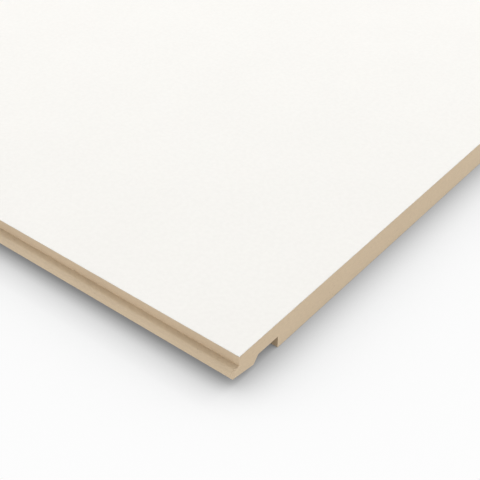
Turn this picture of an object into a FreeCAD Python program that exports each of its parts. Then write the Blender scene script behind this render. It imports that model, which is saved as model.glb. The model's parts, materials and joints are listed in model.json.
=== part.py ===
import FreeCAD, Part
import enum
import os
import Sketcher

# Tongue and groove wall board: one fibreboard panel, finished on its upper face, lying on its back.
# One long edge carries a tongue with a locking recess under it. The other long edge carries the
# matching groove, whose lower lip reaches out under the next board and hooks into that recess.
# X runs along the board, Y across it from the tongue edge to the groove edge, and Z up from the back.
# The origin is on the back, at the middle of the board's length and of its finished face.

# Driving dimensions, in millimetres
DIMENSIONS = (
    ("board_length", 2785, "length of the board, between its square-cut ends"),
    ("cover_width", 618, "width of the finished face, from joint face to joint face"),
    ("board_thickness", 10, "back to finished face"),
    ("tongue_reach", 3.1, "how far the tongue stands out past its joint face"),
    ("nose_height", 3.1, "height of the tongue at its tip"),
    ("heel_drop", 1.55, "how far the tongue's underside falls from its tip to its heel"),
    ("heel_setback", 6.4, "joint face to the heel, the lowest point of the tongue"),
    ("lock_width", 2.1, "width of the slanted locking face behind the heel"),
    ("lock_height", 2.5, "height of the slanted locking face behind the heel"),
    ("recess_width", 9.15, "width of the locking recess's flat roof"),
    ("seat_thickness", 1.75, "thickness of the lower lip where the heel sits on it"),
    ("joint_clearance", 0.1, "play above the tongue, under it and at the locking face"),
    ("nose_clearance", 0.4, "tip of the tongue to the bottom of the groove"),
    ("hook_clearance", 0.25, "top of the hook to the roof of the recess"),
    ("end_clearance", 0.6, "end of the lower lip to the far wall of the recess"),
    ("nose_radius", 1.2, "rounding of the tongue's upper tip and of the groove's bottom"),
    ("heel_radius", 0.4, "rounding of the heel and of its seat"),
    ("arris_radius", 0.3, "rounding of the small milled edges"),
    ("lead_radius", 1, "rounding of the hook's outer edge, which enters the recess first"),
)

# Heights above the back, and places across the board from the nearer joint face
DERIVED = (
    ("heel_height", "=seat_thickness + joint_clearance"),
    ("tip_height", "=heel_height + heel_drop"),
    ("shelf_height", "=tip_height + nose_height"),
    ("roof_height", "=heel_height + lock_height"),
    ("recess_start", "=heel_setback + lock_width"),
    ("recess_end", "=recess_start + recess_width"),
    ("groove_depth", "=tongue_reach + nose_clearance"),
    ("groove_roof", "=shelf_height + joint_clearance"),
    ("seat_heel", "=heel_setback + joint_clearance"),
    ("underside_slope", "=heel_drop / (tongue_reach + heel_setback)"),
    ("groove_floor", "=seat_thickness + underside_slope * (seat_heel + groove_depth)"),
    ("hook_height", "=roof_height - hook_clearance"),
    ("hook_start", "=seat_heel + lock_width * (hook_height - seat_thickness) / lock_height"),
    ("lip_reach", "=recess_end - end_clearance"),
)

# Places of the joint faces across the board, from its middle
MIDDLE = "0"
TONGUE_JOINT = "-Sizes.cover_width / 2"
GROOVE_JOINT = "Sizes.cover_width / 2"

# Corners of the section that are rounded: place across from the nearer joint face, height above the back
NOSE = ("-Sizes.tongue_reach", "Sizes.shelf_height")
TIP = ("-Sizes.tongue_reach", "Sizes.tip_height")
HEEL = ("Sizes.heel_setback", "Sizes.heel_height")
GROOVE_TOP = ("-Sizes.groove_depth", "Sizes.groove_roof")
GROOVE_BOTTOM = ("-Sizes.groove_depth", "Sizes.groove_floor")
SEAT = ("Sizes.seat_heel", "Sizes.seat_thickness")
HOOK_INNER = ("Sizes.hook_start", "Sizes.hook_height")
HOOK_OUTER = ("Sizes.lip_reach", "Sizes.hook_height")

# Outlines of the blank and of the three cuts, corner by corner
BLANK = (
    ("-Sizes.cover_width / 2 - Sizes.tongue_reach", "0"),
    ("Sizes.cover_width / 2 + Sizes.lip_reach", "0"),
    ("Sizes.cover_width / 2 + Sizes.lip_reach", "Sizes.board_thickness"),
    ("-Sizes.cover_width / 2 - Sizes.tongue_reach", "Sizes.board_thickness"),
)
TONGUE_REBATE = (
    ("0", "Sizes.board_thickness"),
    ("0", "Sizes.shelf_height"),
    NOSE,
    ("-Sizes.tongue_reach", "Sizes.board_thickness"),
)
LOCKING_RECESS = (
    ("-Sizes.tongue_reach", "0"),
    TIP,
    HEEL,
    ("Sizes.recess_start", "Sizes.roof_height"),
    ("Sizes.recess_end", "Sizes.roof_height"),
    ("Sizes.recess_end", "0"),
)
GROOVE = (
    ("0", "Sizes.board_thickness"),
    ("0", "Sizes.groove_roof"),
    GROOVE_TOP,
    GROOVE_BOTTOM,
    SEAT,
    HOOK_INNER,
    HOOK_OUTER,
    ("Sizes.lip_reach", "Sizes.board_thickness"),
)

# Roundings of the long edges: name, radius, and each edge's joint face and corner
ROUNDINGS = (
    ("nose_round", "Sizes.nose_radius", ((TONGUE_JOINT, NOSE), (GROOVE_JOINT, GROOVE_TOP))),
    ("heel_round", "Sizes.heel_radius", ((TONGUE_JOINT, HEEL), (GROOVE_JOINT, SEAT))),
    ("arris_round", "Sizes.arris_radius", (
        (TONGUE_JOINT, TIP),
        (GROOVE_JOINT, GROOVE_BOTTOM),
        (GROOVE_JOINT, HOOK_INNER),
    )),
    ("lead_round", "Sizes.lead_radius", ((GROOVE_JOINT, HOOK_OUTER),)),
)

LENGTH_TOLERANCE = 1e-4
VOLUME_TOLERANCE = 1e-6


class Axis(enum.IntEnum):
    """Sketcher's numbers for a sketch's two axes."""

    HORIZONTAL = -1
    VERTICAL = -2


class End(enum.IntEnum):
    """Sketcher's numbers for the ends of a line. The origin is the start of the horizontal axis."""

    START = 1
    FINISH = 2


def make_sizes(document):
    """Spreadsheet with the driving dimensions and the sizes worked out from them."""
    sheet = document.addObject("Spreadsheet::Sheet", "Sizes")
    row = 1
    for alias, value, meaning in DIMENSIONS:
        sheet.set(f"A{row}", meaning)
        sheet.set(f"B{row}", str(value))
        sheet.setAlias(f"B{row}", alias)
        row += 1
    document.recompute()
    for alias, formula in DERIVED:
        sheet.set(f"B{row}", formula)
        sheet.setAlias(f"B{row}", alias)
        document.recompute()
        row += 1
    return sheet


def number(sheet, expression):
    """Present value of an expression in the sheet's aliases."""
    return float(sheet.evalExpression(expression))


def place_corner(sketch, line, axis, kind, expression, value):
    """Tie one coordinate of a line's start to its expression, or to an axis where it is nought."""
    if expression == "0":
        sketch.addConstraint(Sketcher.Constraint("PointOnObject", line, End.START, axis))
        return
    origin = (Axis.HORIZONTAL, End.START)
    index = sketch.addConstraint(Sketcher.Constraint(kind, *origin, line, End.START, value))
    sketch.setExpression(f"Constraints[{index}]", expression)


def make_section(body, sheet, name, joint, corners):
    """Closed, fully constrained outline across the board, measured from a joint face and the back."""
    sketch = body.newObject("Sketcher::SketchObject", name)
    plane = next(item for item in body.Origin.OriginFeatures if item.Role == "YZ_Plane")
    sketch.AttachmentSupport = [(plane, "")]
    sketch.MapMode = "FlatFace"
    sketch.setExpression("AttachmentOffset.Base.x", joint)
    points = [
        FreeCAD.Vector(number(sheet, across), number(sheet, height), 0)
        for across, height in corners
    ]
    following = points[1:] + points[:1]
    lines = [sketch.addGeometry(Part.LineSegment(*ends), False) for ends in zip(points, following)]
    for index, line in enumerate(lines):
        before = lines[index - 1]
        across, height = corners[index]
        across_before, height_before = corners[index - 1]
        sketch.addConstraint(Sketcher.Constraint("Coincident", before, End.FINISH, line, End.START))
        if across == across_before:
            sketch.addConstraint(Sketcher.Constraint("Vertical", before))
        else:
            place_corner(sketch, line, Axis.VERTICAL, "DistanceX", across, points[index].x)
        if height == height_before:
            sketch.addConstraint(Sketcher.Constraint("Horizontal", before))
        else:
            place_corner(sketch, line, Axis.HORIZONTAL, "DistanceY", height, points[index].y)
    sketch.Document.recompute()
    return sketch


def make_blank(body, sheet):
    """Plain panel, as wide as the tongue and the lower lip reach."""
    pad = body.newObject("PartDesign::Pad", "blank")
    pad.Profile = make_section(body, sheet, "blank_section", MIDDLE, BLANK)
    pad.SideType = "Symmetric"
    pad.setExpression("Length", "Sizes.board_length")
    body.Document.recompute()


def mill(body, sheet, name, joint, corners):
    """Cut one section along the whole length of an edge, and check that all of it came away."""
    volume_before = body.Shape.Volume
    sketch = make_section(body, sheet, f"{name}_section", joint, corners)
    pocket = body.newObject("PartDesign::Pocket", name)
    pocket.Profile = sketch
    pocket.SideType = "Symmetric"
    pocket.setExpression("Length", "Sizes.board_length")
    body.Document.recompute()
    section_area = Part.Face(sketch.Shape.Wires[0]).Area
    expected = section_area * number(sheet, "Sizes.board_length")
    removed = volume_before - pocket.Shape.Volume
    if abs(removed - expected) > VOLUME_TOLERANCE * volume_before:
        raise RuntimeError(f"{name} removed {removed:.1f} mm3 where its section gives {expected:.1f} mm3")


def edge_at(shape, across, height):
    """Name of the edge along the board that passes through a corner of the section."""
    for index, edge in enumerate(shape.Edges, 1):
        middle = edge.CenterOfMass
        if FreeCAD.Vector(0, across, height).distanceToPoint(middle) < LENGTH_TOLERANCE:
            return f"Edge{index}"
    raise RuntimeError(f"no edge at {across:.2f}, {height:.2f}")


def round_edges(body, sheet, name, radius, places):
    """Round the long edges at the given corners of the section."""
    base = body.Tip
    names = []
    for joint, (across, height) in places:
        place = number(sheet, joint) + number(sheet, across)
        names.append(edge_at(base.Shape, place, number(sheet, height)))
    fillet = body.newObject("PartDesign::Fillet", name)
    fillet.Base = (base, names)
    fillet.setExpression("Radius", radius)
    body.Document.recompute()


def make_board(document, sheet):
    """The whole board, cut from its blank as a profiling line mills it."""
    body = document.addObject("PartDesign::Body", "board")
    body.Label = "board"
    make_blank(body, sheet)
    mill(body, sheet, "tongue_rebate", TONGUE_JOINT, TONGUE_REBATE)
    mill(body, sheet, "locking_recess", TONGUE_JOINT, LOCKING_RECESS)
    mill(body, sheet, "groove", GROOVE_JOINT, GROOVE)
    for name, radius, places in ROUNDINGS:
        round_edges(body, sheet, name, radius, places)
    return body


def check(document, body):
    """Stop if any object failed or the board isn't one valid solid."""
    for item in document.Objects:
        if "Invalid" in item.State or "Error" in item.State:
            raise RuntimeError(f"{item.Name} failed: {item.State}")
    shape = body.Shape
    if shape.isNull() or not shape.isValid() or len(shape.Solids) != 1:
        raise RuntimeError(f"{body.Label} isn't one valid solid")


def main():
    document = FreeCAD.newDocument("tongue_and_groove_board")
    sheet = make_sizes(document)
    board = make_board(document, sheet)
    document.recompute()
    check(document, board)
    os.makedirs("parts", exist_ok=True)
    board.Shape.exportStep(f"parts/{board.Label}.step")
    box = board.Shape.BoundBox
    print(f"{board.Label}: {box.XLength:.2f} x {box.YLength:.2f} x {box.ZLength:.2f} mm")
    print(f"volume: {board.Shape.Volume:.0f} mm3")


main()
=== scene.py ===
import json
from math import cos, pi, radians, sin

import bmesh
import bpy
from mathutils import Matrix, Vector

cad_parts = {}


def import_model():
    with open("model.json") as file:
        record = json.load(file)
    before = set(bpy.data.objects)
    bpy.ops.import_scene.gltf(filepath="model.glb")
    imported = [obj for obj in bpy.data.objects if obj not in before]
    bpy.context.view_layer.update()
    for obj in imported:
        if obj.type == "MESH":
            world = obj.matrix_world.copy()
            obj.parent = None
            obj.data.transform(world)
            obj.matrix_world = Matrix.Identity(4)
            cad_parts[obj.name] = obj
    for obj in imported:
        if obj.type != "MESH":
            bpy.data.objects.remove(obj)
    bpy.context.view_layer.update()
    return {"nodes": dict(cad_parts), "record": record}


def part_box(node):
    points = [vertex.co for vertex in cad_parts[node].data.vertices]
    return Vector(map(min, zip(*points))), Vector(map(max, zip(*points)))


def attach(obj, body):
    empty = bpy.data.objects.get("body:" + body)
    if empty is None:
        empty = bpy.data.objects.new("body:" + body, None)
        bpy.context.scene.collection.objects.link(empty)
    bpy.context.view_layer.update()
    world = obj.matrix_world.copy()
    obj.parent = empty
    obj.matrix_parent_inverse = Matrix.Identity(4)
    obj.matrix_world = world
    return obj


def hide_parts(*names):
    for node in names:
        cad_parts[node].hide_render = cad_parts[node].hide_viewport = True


# Looks of a white-faced fibreboard wall board with a locking tongue and groove.
# All lengths are in metres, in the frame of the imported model: X along the board, Z up from its back.
# All colours are in linear light.

# Camera, found from the straight edges of the photograph, in pixels of its 480 x 480 frame
FRAME_PIXELS = 480
FOCAL_PIXELS = 1064.0
CORNER_PIXEL = (239.41, 356.84)
CORNER_DEPTH = 0.2907
CAMERA_PITCH = radians(38.81)
CAMERA_TURN = radians(38.77)
SENSOR_MM = 36.0
NEAREST_SEEN = 0.01

# Finer shapes than the solid has
FACING_THICKNESS = 0.0002
ARRIS_WIDTH = 0.00012
ARRIS_SEGMENTS = 3
SHARP_ANGLE = radians(30)

# Reading the section from the solid's end face
END_TOLERANCE = 0.00001
OUTLINE_DIGITS = 7

# Patterns of both materials, spread from the range that noise mostly has to the full one
FULL_RANGE = (0.0, 1.0)
NOISE_ROUGHNESS = 0.55
NOISE_RANGE = (0.3, 0.7)
CLOUD_SIZE = 0.03
CLOUD_DETAIL = 2.0

# Fibreboard: the range of its colour, and the part of each pattern in it
FIBRE_DARK = (0.594, 0.466, 0.318, 1.0)
FIBRE_LIGHT = (0.694, 0.554, 0.388, 1.0)
FIBRE_SHARE = 0.5
GRAIN_SHARE = 0.3
CLOUD_SHARE = 0.2

# Fibreboard: felted fibres, and the fine grain of their cut ends
FIBRE_LENGTH = 0.0012
FIBRE_THICKNESS = 0.0003
FIBRE_DETAIL = 3.0
GRAIN_SIZE = 0.00016
GRAIN_DETAIL = 1.0
FIBRE_RELIEF = 0.000012
FIBRE_ROUGHNESS = (0.72, 0.88)
FIBRE_SPECULAR = 0.3

# Fibreboard: the denser skin below each face
SKIN_DEPTH = 0.0016
SKIN_DARKENING = 0.05

# Fibreboard: dark flecks, with their radius as a part of their spacing
FLECK_COLOUR = (0.38, 0.27, 0.17, 1.0)
FLECK_STRENGTH = 0.6
FLECK_SPACING = 0.0022
FLECK_RADIUS = 0.1
FLECK_CHANCE = (0.55, 0.95)

# Fibreboard: painted shade that darkens the faces of the locking recess, where shade falls
RECESS_SHADE_COLOUR = (0.32, 0.22, 0.12, 1.0)
RECESS_SHADE_STRENGTH = 0.55
LOCK_WIDTH = 0.0021

# Fibreboard: ridges left by the cutters along the edges and by the saw at the ends
KNIFE_PITCH = 0.0014
KNIFE_RELIEF = 0.000003
SAW_PITCH = 0.0024
SAW_RELIEF = 0.000004
SAW_LEAN = 0.35
RIDGE_WAVER = 6.0
END_RANGE = (0.5, 0.8)
FLAT_RANGE = (0.9, 0.999)

# White facing: the range of its colour, and the stipple of its satin film
WHITE_DARK = (0.809, 0.794, 0.759, 1.0)
WHITE_LIGHT = (0.841, 0.826, 0.791, 1.0)
STIPPLE_SHARE = 0.75
STIPPLE_SIZE = 0.0014
STIPPLE_DETAIL = 2.0
STIPPLE_SMOOTHNESS = 0.6
STIPPLE_RELIEF = 0.000006
FILM_ROUGHNESS = (0.48, 0.58)
FILM_IOR = 1.5

# Light: a sky that is brightest at the horizon, and one broad soft lamp from beyond the board
SKY_HORIZON = 1.82
BACKGROUND_LEVEL = 0.982
KEY_STRENGTH = 2.29
KEY_SPREAD = radians(80)
KEY_HEIGHT = radians(35)
WHITE = (1.0, 1.0, 1.0, 1.0)

# Floor: its size, and the light that it glows with onto the board in deep shade and in the open, with how
# open each is
FLOOR_SIZE = 60.0
FLOOR_DROP = 0.0001
FLOOR_LIGHT = (0.073, 0.73)
FLOOR_LIGHT_RANGE = (0.1, 0.6)

# Floor: its painted shadow, from how the board blocks the sky and the lamp round each point, with a lift of
# the deepest shade
SHADE_SAMPLES = 32
SHADE_DARKEST = 0.08
SHADE_KNEE = 0.46
SKY_SHADE_REACH = 0.3
SKY_SHADE_POWER = 1.02
SKY_SHADE_FULL = 0.985
KEY_SHADE_REACH = 0.012
KEY_SHADE_POWER = 0.28
KEY_SHADE_LEAST = 0.4
KEY_SHADE_LEAN = radians(60)


def end_outline(node):
    """Outline of a node's end face, in order round the section, as places across the board and up."""
    mesh = node.data
    end = max(vertex.co.x for vertex in mesh.vertices)
    uses = {}
    for face in mesh.polygons:
        corners = [mesh.vertices[index].co for index in face.vertices]
        if min(corner.x for corner in corners) < end - END_TOLERANCE:
            continue
        places = [(round(corner.y, OUTLINE_DIGITS), round(corner.z, OUTLINE_DIGITS)) for corner in corners]
        for pair in zip(places, places[1:] + places[:1]):
            uses[frozenset(pair)] = uses.get(frozenset(pair), 0) + 1
    neighbours = {}
    for pair, count in uses.items():
        if count == 1:
            first, second = pair
            neighbours.setdefault(first, []).append(second)
            neighbours.setdefault(second, []).append(first)
    start = min(neighbours)
    outline = [start]
    following = neighbours[start][0]
    while following != start:
        before = outline[-1]
        outline.append(following)
        ahead = neighbours[following]
        following = ahead[0] if ahead[0] != before else ahead[1]
    return outline


def cut_above(outline, height):
    """The section below a height, where only upright sides reach above it."""
    return [(across, min(up, height)) for across, up in outline]


def cut_below(outline, height):
    """The upright-sided part of the section above a height."""
    top = [point for point in outline if point[1] > height]
    return [(across, height) for across, up in top] + top[::-1]


def extrude(name, outline, start, end, material):
    """Closed prism along the board with fine rounded arrises."""
    mesh = bpy.data.meshes.new(name)
    shape = bmesh.new()
    near = [shape.verts.new((start, across, up)) for across, up in outline]
    far = [shape.verts.new((end, across, up)) for across, up in outline]
    shape.faces.new(near)
    shape.faces.new(far[::-1])
    for index in range(len(outline)):
        shape.faces.new((near[index - 1], far[index - 1], far[index], near[index]))
    bmesh.ops.recalc_face_normals(shape, faces=shape.faces[:])
    for face in shape.faces:
        face.smooth = True
    shape.to_mesh(mesh)
    shape.free()
    mesh.materials.append(material)
    piece = bpy.data.objects.new(name, mesh)
    bpy.context.scene.collection.objects.link(piece)
    bevel = piece.modifiers.new("arrises", "BEVEL")
    bevel.width = ARRIS_WIDTH
    bevel.segments = ARRIS_SEGMENTS
    bevel.limit_method = "ANGLE"
    bevel.angle_limit = SHARP_ANGLE
    bevel.use_clamp_overlap = False
    bevel.harden_normals = True
    return piece


def find_socket(node, name):
    """Input that is in use and has this name, written small and with underscores for its spaces."""
    for socket in node.inputs:
        if socket.enabled and socket.name.lower().replace(" ", "_") == name:
            return socket
    raise KeyError(f"{node.bl_idname} has no input named {name}")


def fill(tree, socket, value):
    """Link a socket to another node's output, or set it to a plain value."""
    if isinstance(value, bpy.types.NodeSocket):
        tree.links.new(value, socket)
    else:
        socket.default_value = value


def add(tree, kind, settings=None, **sockets):
    """Node of a kind, with its settings made and its named sockets filled."""
    node = tree.nodes.new(kind)
    for name, value in (settings or {}).items():
        setattr(node, name, value)
    for name, value in sockets.items():
        fill(tree, find_socket(node, name), value)
    return node


def split(tree, vector):
    """The three parts of a vector."""
    return add(tree, "ShaderNodeSeparateXYZ", vector=vector).outputs


def maths(tree, operation, *values):
    """Value of one operation on up to three values."""
    node = tree.nodes.new("ShaderNodeMath")
    node.operation = operation
    for socket, value in zip(node.inputs, values):
        fill(tree, socket, value)
    return node.outputs[0]


def inverse(tree, share):
    """What is left of 1 beside a share."""
    return maths(tree, "SUBTRACT", 1.0, share)


def ramp(tree, value, source, target=FULL_RANGE, kind="SMOOTHSTEP"):
    """A value taken from one range to another, and held at the ends."""
    node = add(
        tree, "ShaderNodeMapRange", {"interpolation_type": kind},
        value=value, from_min=source[0], from_max=source[1], to_min=target[0], to_max=target[1],
    )
    return node.outputs[0]


def weighted(tree, *parts):
    """Sum of values that are each taken with a weight."""
    total = 0.0
    for value, weight in parts:
        total = maths(tree, "MULTIPLY_ADD", value, weight, total)
    return total


def blend(tree, share, first, second):
    """Colour between two others."""
    node = add(tree, "ShaderNodeMix", {"data_type": "RGBA"}, factor=share, a=first, b=second)
    return next(socket for socket in node.outputs if socket.enabled)


def noise(tree, place, sizes, detail):
    """Cloudy pattern with features of these sizes along X, Y and Z, spread from 0 to 1."""
    scale = tuple(1 / size for size in sizes)
    mapping = add(tree, "ShaderNodeMapping", vector=place, scale=scale)
    texture = add(
        tree, "ShaderNodeTexNoise",
        vector=mapping.outputs[0], scale=1.0, detail=detail, roughness=NOISE_ROUGHNESS,
    )
    return ramp(tree, texture.outputs[0], NOISE_RANGE)


def between(tree, value, low, high):
    """1 where a value is between two others, and 0 elsewhere."""
    return maths(tree, "COMPARE", value, (low + high) / 2, (high - low) / 2)


def ridges(tree, along, pitch, waver):
    """Rounded ridges across a direction, with their places shifted a little by another value."""
    turn = maths(tree, "MULTIPLY_ADD", along, 2 * pi / pitch, waver)
    return maths(tree, "SINE", turn)


def relief(tree, shader, height):
    """Fine relief of a surface, from a height in metres."""
    bump = add(tree, "ShaderNodeBump", height=height, distance=1.0, strength=1.0)
    tree.links.new(bump.outputs[0], shader.inputs["Normal"])


def new_tree(owner):
    """Empty node tree of a material or world."""
    owner.use_nodes = True
    owner.node_tree.nodes.clear()
    return owner.node_tree


def new_material(name):
    """Node material with an unset surface shader."""
    material = bpy.data.materials.new(name)
    tree = new_tree(material)
    shader = tree.nodes.new("ShaderNodeBsdfPrincipled")
    output = tree.nodes.new("ShaderNodeOutputMaterial")
    tree.links.new(shader.outputs[0], output.inputs["Surface"])
    return material, tree, shader


def with_flecks(tree, place, colour):
    """A colour with small dark flecks of shive in it, some fainter than others."""
    cells = add(
        tree, "ShaderNodeTexVoronoi", {"feature": "F1"},
        vector=place, scale=1 / FLECK_SPACING, randomness=1.0,
    )
    dot = ramp(tree, cells.outputs["Distance"], (FLECK_RADIUS, FLECK_RADIUS / 2))
    chance = ramp(tree, split(tree, cells.outputs["Color"])[0], FLECK_CHANCE)
    share = maths(tree, "MULTIPLY", maths(tree, "MULTIPLY", dot, chance), FLECK_STRENGTH)
    return blend(tree, share, colour, FLECK_COLOUR)


def fibreboard(thickness, recess):
    """Raw fibreboard: felted fibres lying flat, a denser skin, tool marks on each cut face, and painted
    shade in the locking recess.
    """
    material, tree, shader = new_material("fibreboard")
    place = add(tree, "ShaderNodeTexCoord").outputs["Object"]
    along, across, up = split(tree, place)
    facing = split(tree, add(tree, "ShaderNodeNewGeometry").outputs["True Normal"])
    end_share = ramp(tree, maths(tree, "ABSOLUTE", facing[0]), END_RANGE)
    flat_share = ramp(tree, maths(tree, "ABSOLUTE", facing[2]), FLAT_RANGE)
    side_share = inverse(tree, end_share)

    fibres = noise(tree, place, (FIBRE_LENGTH, FIBRE_LENGTH, FIBRE_THICKNESS), FIBRE_DETAIL)
    grain = noise(tree, place, (GRAIN_SIZE, GRAIN_SIZE, GRAIN_SIZE), GRAIN_DETAIL)
    clouds = noise(tree, place, (CLOUD_SIZE, CLOUD_SIZE, CLOUD_SIZE), CLOUD_DETAIL)
    from_middle = maths(tree, "ABSOLUTE", maths(tree, "SUBTRACT", up, thickness / 2))
    skin = ramp(tree, from_middle, (thickness / 2 - SKIN_DEPTH, thickness / 2))
    tone = weighted(
        tree, (fibres, FIBRE_SHARE), (grain, GRAIN_SHARE), (clouds, CLOUD_SHARE), (skin, -SKIN_DARKENING),
    )
    colour = with_flecks(tree, place, blend(tree, tone, FIBRE_DARK, FIBRE_LIGHT))

    # Painted shade: the side faces inside the locking recess are darkened towards a dark brown
    low, high = recess
    inside = maths(tree, "MULTIPLY", between(tree, across, low.y, high.y), between(tree, up, low.z, high.z))
    recess_shade = maths(tree, "MULTIPLY", maths(tree, "MULTIPLY", inside, side_share), RECESS_SHADE_STRENGTH)
    tree.links.new(blend(tree, recess_shade, colour, RECESS_SHADE_COLOUR), shader.inputs["Base Color"])

    waver = maths(tree, "MULTIPLY", clouds, RIDGE_WAVER)
    edge_share = maths(tree, "MULTIPLY", side_share, inverse(tree, flat_share))
    knife = maths(tree, "MULTIPLY", ridges(tree, along, KNIFE_PITCH, waver), edge_share)
    leaning = maths(tree, "MULTIPLY_ADD", up, SAW_LEAN, across)
    saw = maths(tree, "MULTIPLY", ridges(tree, leaning, SAW_PITCH, waver), end_share)
    fuzz = maths(tree, "ADD", fibres, grain)
    height = weighted(tree, (knife, KNIFE_RELIEF), (saw, SAW_RELIEF), (fuzz, FIBRE_RELIEF / 2))
    relief(tree, shader, height)
    tree.links.new(ramp(tree, fibres, FULL_RANGE, FIBRE_ROUGHNESS), shader.inputs["Roughness"])
    shader.inputs["Specular IOR Level"].default_value = FIBRE_SPECULAR
    return material


def white_facing():
    """Satin white film with a fine stipple."""
    material, tree, shader = new_material("white_facing")
    place = add(tree, "ShaderNodeTexCoord").outputs["Object"]
    stipple = noise(tree, place, (STIPPLE_SIZE, STIPPLE_SIZE, STIPPLE_SIZE), STIPPLE_DETAIL)
    clouds = noise(tree, place, (CLOUD_SIZE, CLOUD_SIZE, CLOUD_SIZE), CLOUD_DETAIL)
    tone = weighted(tree, (stipple, STIPPLE_SHARE), (clouds, 1 - STIPPLE_SHARE))
    colour = blend(tree, tone, WHITE_DARK, WHITE_LIGHT)
    tree.links.new(colour, shader.inputs["Base Color"])
    cells = add(
        tree, "ShaderNodeTexVoronoi", {"feature": "SMOOTH_F1"},
        vector=place, scale=1 / STIPPLE_SIZE, smoothness=STIPPLE_SMOOTHNESS, randomness=1.0,
    )
    relief(tree, shader, maths(tree, "MULTIPLY", cells.outputs["Distance"], STIPPLE_RELIEF))
    tree.links.new(ramp(tree, stipple, FULL_RANGE, FILM_ROUGHNESS), shader.inputs["Roughness"])
    shader.inputs["IOR"].default_value = FILM_IOR
    return material


def seen_directly(tree):
    """1 for rays that show a surface to the camera, straight, reflected or through glass, and else 0."""
    path = add(tree, "ShaderNodeLightPath")
    shown = maths(tree, "MAXIMUM", path.outputs["Is Camera Ray"], path.outputs["Is Glossy Ray"])
    return maths(tree, "MAXIMUM", shown, path.outputs["Is Transmission Ray"])


def floor_material():
    """Glowing floor that looks evenly pale with a painted shadow where the board stands over it or near it,
    and whose glow also lights the board.
    """
    material = bpy.data.materials.new("floor")
    tree = new_tree(material)
    sky = add(tree, "ShaderNodeAmbientOcclusion", {"samples": SHADE_SAMPLES}, distance=SKY_SHADE_REACH)
    open_sky = ramp(tree, sky.outputs["AO"], (0.0, SKY_SHADE_FULL), kind="LINEAR")
    lean = add(tree, "ShaderNodeCombineXYZ", x=0.0, y=sin(KEY_SHADE_LEAN), z=cos(KEY_SHADE_LEAN))
    key = add(
        tree, "ShaderNodeAmbientOcclusion", {"samples": SHADE_SAMPLES},
        distance=KEY_SHADE_REACH, normal=lean.outputs[0],
    )
    open_key = maths(tree, "MAXIMUM", key.outputs["AO"], KEY_SHADE_LEAST)
    # Painted shadow: the floor's glow is dimmed by how much of the sky and the lamp the board blocks
    level = maths(
        tree, "MULTIPLY",
        maths(tree, "POWER", open_sky, SKY_SHADE_POWER),
        maths(tree, "POWER", open_key, KEY_SHADE_POWER),
    )
    lifted = ramp(tree, level, (0.0, SHADE_KNEE), (SHADE_DARKEST, SHADE_KNEE), kind="LINEAR")
    looks = maths(tree, "MULTIPLY", maths(tree, "MAXIMUM", level, lifted), BACKGROUND_LEVEL)
    gives = ramp(tree, level, FLOOR_LIGHT_RANGE, FLOOR_LIGHT, kind="LINEAR")
    strength = ramp(tree, seen_directly(tree), FULL_RANGE, (gives, looks), kind="LINEAR")
    shown = add(tree, "ShaderNodeEmission", color=WHITE, strength=strength)
    output = tree.nodes.new("ShaderNodeOutputMaterial")
    tree.links.new(shown.outputs[0], output.inputs["Surface"])
    return material


def add_floor():
    """Level floor that the board lies on."""
    half = FLOOR_SIZE / 2
    corners = ((-half, -half), (half, -half), (half, half), (-half, half))
    mesh = bpy.data.meshes.new("floor")
    mesh.from_pydata([(x, y, -FLOOR_DROP) for x, y in corners], [], [range(len(corners))])
    mesh.materials.append(floor_material())
    floor = bpy.data.objects.new("floor", mesh)
    bpy.context.scene.collection.objects.link(floor)


def level_direction(turn):
    """Level direction, turned to the left from the one straight across the board."""
    return Vector((-sin(turn), cos(turn), 0.0))


def add_sky():
    """Sky that lights the board most from near the horizon, and looks evenly pale."""
    world = bpy.data.worlds.new("studio")
    tree = new_tree(world)
    direction = add(tree, "ShaderNodeTexCoord").outputs["Generated"]
    level = ramp(tree, split(tree, direction)[2], FULL_RANGE, (SKY_HORIZON, 0.0), kind="LINEAR")
    light = add(tree, "ShaderNodeBackground", color=WHITE, strength=level)
    shown = add(tree, "ShaderNodeBackground", color=WHITE, strength=BACKGROUND_LEVEL)
    both = tree.nodes.new("ShaderNodeMixShader")
    for socket, source in zip(both.inputs, (seen_directly(tree), light.outputs[0], shown.outputs[0])):
        tree.links.new(source, socket)
    output = tree.nodes.new("ShaderNodeOutputWorld")
    tree.links.new(both.outputs[0], output.inputs["Surface"])
    bpy.context.scene.world = world


def add_key():
    """Broad soft lamp from beyond the board, facing the camera."""
    lamp = bpy.data.lights.new("key", "SUN")
    lamp.energy = KEY_STRENGTH
    lamp.angle = KEY_SPREAD
    key = bpy.data.objects.new("key", lamp)
    source = level_direction(CAMERA_TURN) * cos(KEY_HEIGHT) + Vector((0.0, 0.0, sin(KEY_HEIGHT)))
    key.rotation_euler = source.to_track_quat("Z", "Y").to_euler()
    bpy.context.scene.collection.objects.link(key)


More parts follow.
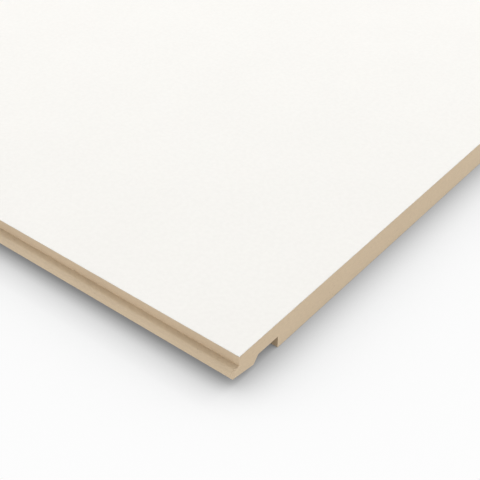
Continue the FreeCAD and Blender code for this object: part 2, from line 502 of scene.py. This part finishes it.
def add_camera(corner):
    """Camera that sees the board's near upper corner where the photograph has it."""
    forward = level_direction(CAMERA_TURN) * cos(CAMERA_PITCH) - Vector((0.0, 0.0, sin(CAMERA_PITCH)))
    right = Vector((cos(CAMERA_TURN), sin(CAMERA_TURN), 0.0))
    up = right.cross(forward)
    centre = FRAME_PIXELS / 2
    aside = (CORNER_PIXEL[0] - centre) / FOCAL_PIXELS
    below = (CORNER_PIXEL[1] - centre) / FOCAL_PIXELS
    data = bpy.data.cameras.new("camera")
    data.sensor_fit = "HORIZONTAL"
    data.sensor_width = SENSOR_MM
    data.lens = FOCAL_PIXELS / FRAME_PIXELS * SENSOR_MM
    data.clip_start = NEAREST_SEEN
    data.clip_end = 2 * FLOOR_SIZE
    camera = bpy.data.objects.new("camera", data)
    camera.location = corner - (forward + right * aside - up * below) * CORNER_DEPTH
    camera.rotation_euler = forward.to_track_quat("-Z", "Y").to_euler()
    bpy.context.scene.collection.objects.link(camera)
    bpy.context.scene.camera = camera


def find_recess(record):
    """Lowest and highest corners of a box round the faces of the locking recess."""
    openings = record["physics"]["openings"]
    box = next(item["box_m"] for item in openings if item["name"] == "locking_recess")
    low, high = (Vector(corner) for corner in box)
    low.y -= LOCK_WIDTH
    margin = Vector((0.0, ARRIS_WIDTH, ARRIS_WIDTH))
    return low - margin, high + margin


def add_board(frame):
    """Fibreboard body and white facing of the board, in place of its solid."""
    low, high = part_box("board")
    outline = end_outline(frame["nodes"]["board"])
    seam = high.z - FACING_THICKNESS
    recess = find_recess(frame["record"])
    body = extrude("board_body", cut_above(outline, seam), low.x, high.x, fibreboard(high.z, recess))
    facing = extrude("board_facing", cut_below(outline, seam), low.x, high.x, white_facing())
    for piece, slot in ((body, "fibreboard"), (facing, "white_facing")):
        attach(piece, "root")
        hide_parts("board")


def main():
    """The dressed board on its floor, with its light and its camera."""
    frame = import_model()
    joint = next(mount for mount in frame["record"]["mounts"] if mount["name"] == "tongue_joint_face")
    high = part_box("board")[1]
    add_camera(Vector((high.x, joint["pos_m"][1], high.z)))
    add_board(frame)
    add_floor()
    add_sky()
    add_key()
    bpy.context.scene.view_settings.view_transform = "Standard"


main()
